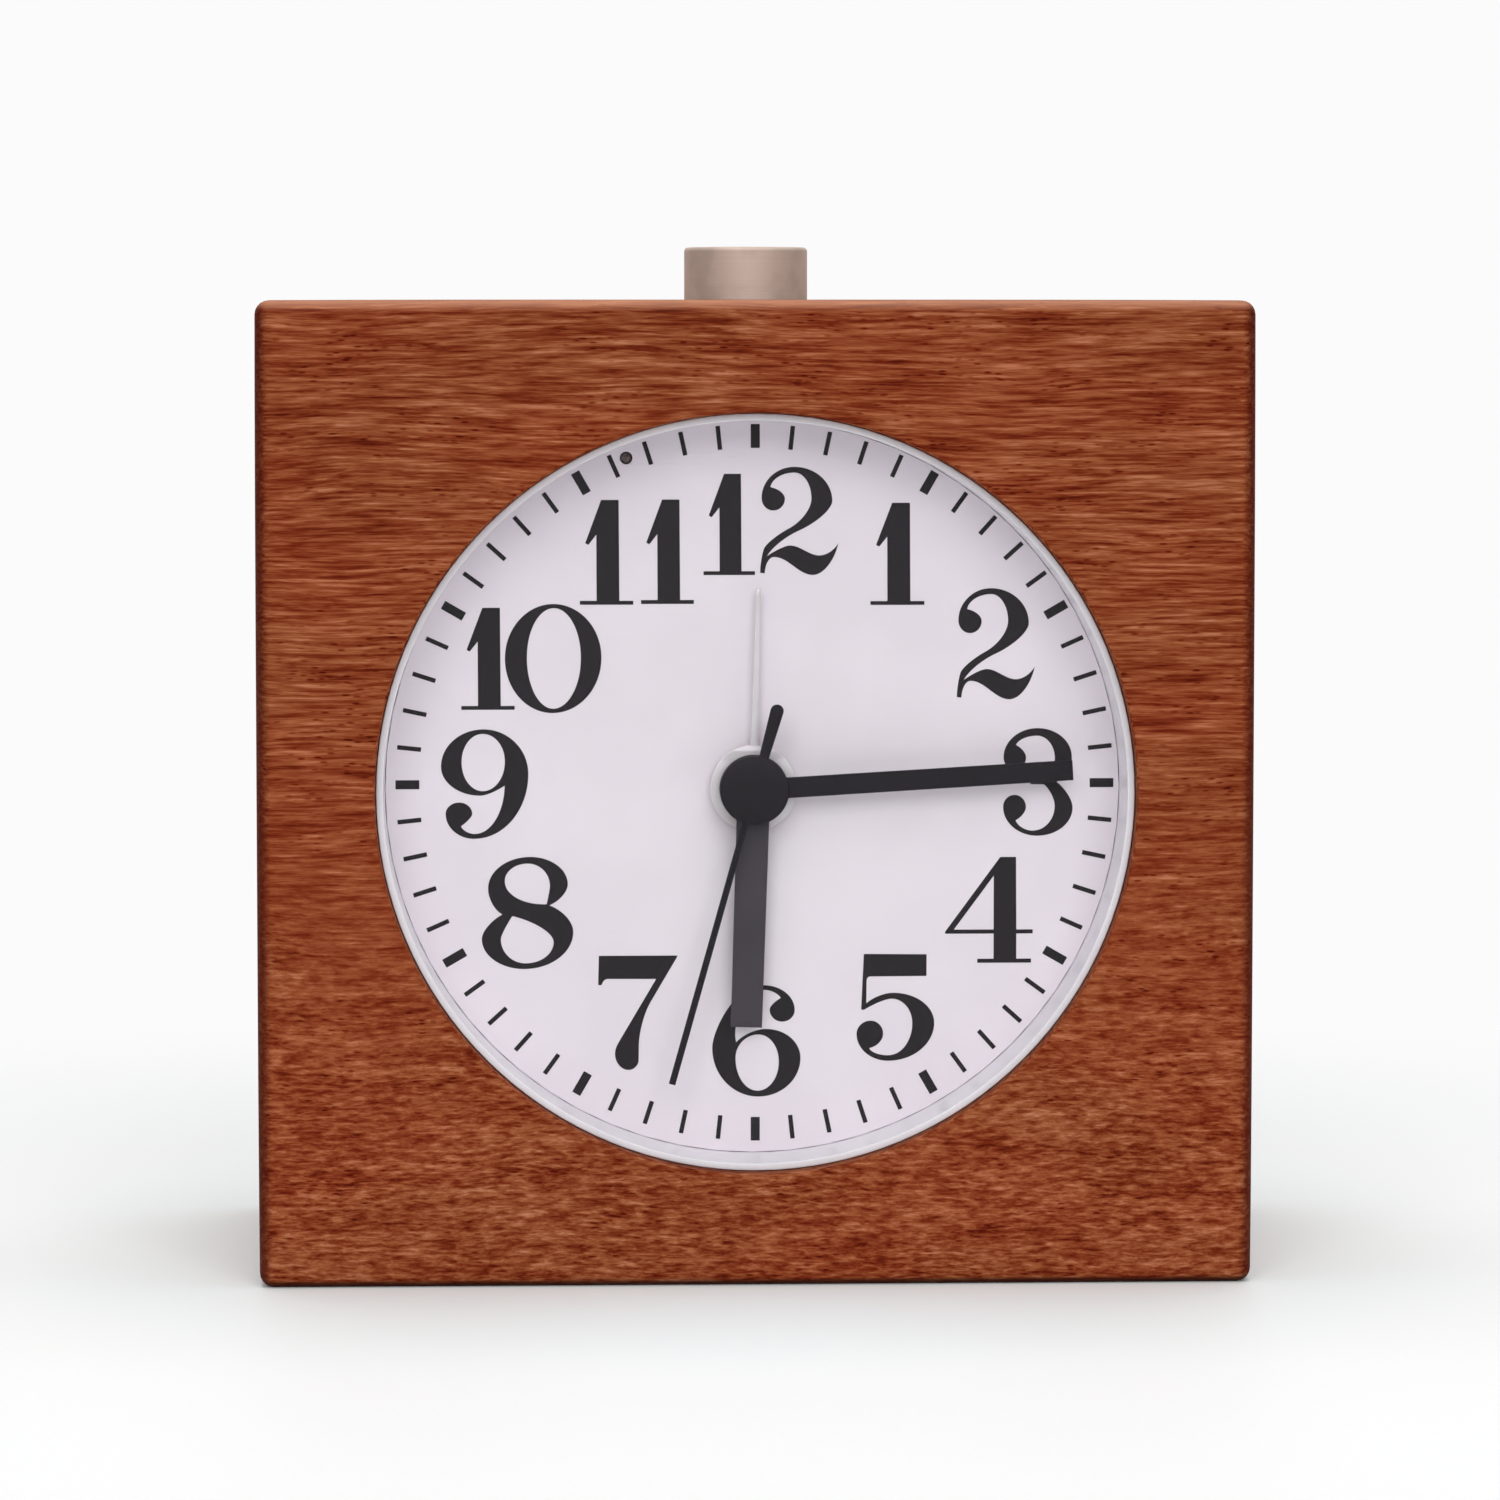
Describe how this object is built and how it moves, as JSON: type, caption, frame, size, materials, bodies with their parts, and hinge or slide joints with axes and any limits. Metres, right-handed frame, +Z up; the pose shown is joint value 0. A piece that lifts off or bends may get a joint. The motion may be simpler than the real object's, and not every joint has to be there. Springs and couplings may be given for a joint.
{
  "type": "wooden alarm clock",
  "caption": "Square wooden desk alarm clock with a round numbered dial, a round snooze button on top, a quartz movement and a battery door and setting knobs at the rear.",
  "frame": {"origin": "centre of the base, on the surface that the clock stands on", "axes": "+Z up, the dial faces -Y, +X to the right of someone who looks at the dial"},
  "size_m": [0.086, 0.05, 0.0897],
  "materials": {
    "stained_wood": "red-brown stain under a thin satin coat, fine horizontal grain with open pores",
    "white_plastic": "moulded, satin",
    "clear_sheet": "clear and polished",
    "dial_card": "pale grey-white print ground",
    "black_paint": "satin black paint",
    "silver_paint": "satin silver paint",
    "champagne_metal": "champagne plating, turned and satin",
    "spring_steel": "bright wire",
    "grey_plastic": "moulded",
    "gear_plastic": "moulded, natural",
    "brass": "machined",
    "magnet_grey": "bonded magnet",
    "plated_steel": "bright plating",
    "copper_wire": "enamelled copper wire",
    "board_green": "solder-masked board",
    "black_plastic": "moulded, satin",
    "amber_resin": "dark when off",
    "cell_sleeve": "plain printed sleeve",
    "red_sleeve": "insulated lead",
    "black_sleeve": "insulated lead"
  },
  "bodies": {
    "case": {"wooden_case": "stained_wood", "dial_canister": "white_plastic", "rear_cover": "white_plastic", "clear_lens": "clear_sheet", "dial": "dial_card", "button_spring": "spring_steel", "negative_contact_spring": "spring_steel", "movement_front_shell": "grey_plastic", "movement_back_shell": "grey_plastic", "train_bridge": "grey_plastic", "alarm_contact": "brass", "stator": "plated_steel", "motor_coil": "copper_wire", "circuit_board": "board_green", "snooze_board": "board_green", "clock_chip": "black_plastic", "quartz_crystal": "plated_steel", "snooze_switch": "black_plastic", "buzzer": "black_plastic", "night_light_led": "amber_resin", "alarm_switch_body": "plated_steel", "battery_cell": "cell_sleeve", "positive_contact": "plated_steel", "battery_lead_red": "red_sleeve", "battery_lead_black": "black_sleeve", "movement_screw_1": "plated_steel", "movement_screw_2": "plated_steel", "movement_screw_3": "plated_steel", "movement_screw_4": "plated_steel", "cover_screw_1": "plated_steel", "cover_screw_2": "plated_steel", "cover_screw_3": "plated_steel", "cover_screw_4": "plated_steel"},
    "seconds_group": {"second_hand": "black_paint", "seconds_wheel": "gear_plastic"},
    "third_group": {"third_wheel": "gear_plastic"},
    "centre_group": {"centre_wheel": "gear_plastic"},
    "fifth_group": {"fifth_wheel": "gear_plastic"},
    "rotor_group": {"rotor": "magnet_grey"},
    "minute_group": {"minute_hand": "black_paint", "cannon_pinion": "brass"},
    "minute_works_group": {"minute_works_wheel": "gear_plastic"},
    "hour_group": {"hour_hand": "black_paint", "hour_wheel": "gear_plastic"},
    "time_knob_group": {"time_set_knob": "black_plastic", "time_set_shaft": "black_plastic"},
    "alarm_group": {"alarm_hand": "silver_paint", "alarm_wheel": "gear_plastic"},
    "alarm_knob_group": {"alarm_set_knob": "black_plastic", "alarm_set_shaft": "black_plastic"},
    "button": {"snooze_button": "champagne_metal"},
    "slider": {"alarm_switch_slider": "black_plastic"},
    "door": {"battery_door": "white_plastic"}
  },
  "joints": [
    {"name": "seconds_spin", "type": "hinge", "parent": "case", "child": "seconds_group", "pos_m": [0, 0, 0.0425], "axis": [0, 1, 0], "continuous": true},
    {"name": "third_spin", "type": "hinge", "parent": "case", "child": "third_group", "pos_m": [0.00392, 0, 0.03172], "axis": [0, 1, 0], "continuous": true},
    {"name": "centre_spin", "type": "hinge", "parent": "case", "child": "centre_group", "pos_m": [0, 0, 0.0425], "axis": [0, 1, 0], "continuous": true},
    {"name": "fifth_spin", "type": "hinge", "parent": "case", "child": "fifth_group", "pos_m": [-0.00831, 0, 0.0377], "axis": [0, 1, 0], "continuous": true},
    {"name": "rotor_spin", "type": "hinge", "parent": "case", "child": "rotor_group", "pos_m": [-0.01519, 0, 0.03288], "axis": [0, 1, 0], "continuous": true},
    {"name": "minute_spin", "type": "hinge", "parent": "case", "child": "minute_group", "pos_m": [0, 0, 0.0425], "axis": [0, 1, 0], "continuous": true},
    {"name": "minute_works_spin", "type": "hinge", "parent": "case", "child": "minute_works_group", "pos_m": [0.0041, 0, 0.05378], "axis": [0, 1, 0], "continuous": true},
    {"name": "hour_spin", "type": "hinge", "parent": "case", "child": "hour_group", "pos_m": [0, 0, 0.0425], "axis": [0, 1, 0], "continuous": true},
    {"name": "time_knob_spin", "type": "hinge", "parent": "case", "child": "time_knob_group", "pos_m": [0.01592, 0, 0.05586], "axis": [0, 1, 0], "continuous": true},
    {"name": "alarm_spin", "type": "hinge", "parent": "case", "child": "alarm_group", "pos_m": [0, 0, 0.0425], "axis": [0, 1, 0], "continuous": true},
    {"name": "alarm_knob_spin", "type": "hinge", "parent": "case", "child": "alarm_knob_group", "pos_m": [-0.00923, 0, 0.05432], "axis": [0, 1, 0], "continuous": true},
    {"name": "snooze_press", "type": "slide", "parent": "case", "child": "button", "axis": [0, 0, -1], "range_m": [0, 0.0015], "stiffness_N_per_m": 400, "springref_m": -0.001, "deforming": ["button_spring"]},
    {"name": "alarm_switch_slide", "type": "slide", "parent": "case", "child": "slider", "axis": [1, 0, 0], "range_m": [0, 0.003]},
    {"name": "battery_door_lift", "type": "slide", "parent": "case", "child": "door", "axis": [0, 1, 0], "range_m": [0, 0.02]}
  ],
  "couplings": [
    {"joint": "third_spin", "follows": "seconds_spin", "ratio": -0.13333},
    {"joint": "centre_spin", "follows": "seconds_spin", "ratio": 0.016667},
    {"joint": "fifth_spin", "follows": "seconds_spin", "ratio": -5},
    {"joint": "rotor_spin", "follows": "seconds_spin", "ratio": 30},
    {"joint": "minute_works_spin", "follows": "minute_spin", "ratio": -0.33333},
    {"joint": "hour_spin", "follows": "minute_spin", "ratio": 0.083333},
    {"joint": "time_knob_spin", "follows": "minute_spin", "ratio": 1},
    {"joint": "alarm_knob_spin", "follows": "alarm_spin", "ratio": -2}
  ]
}
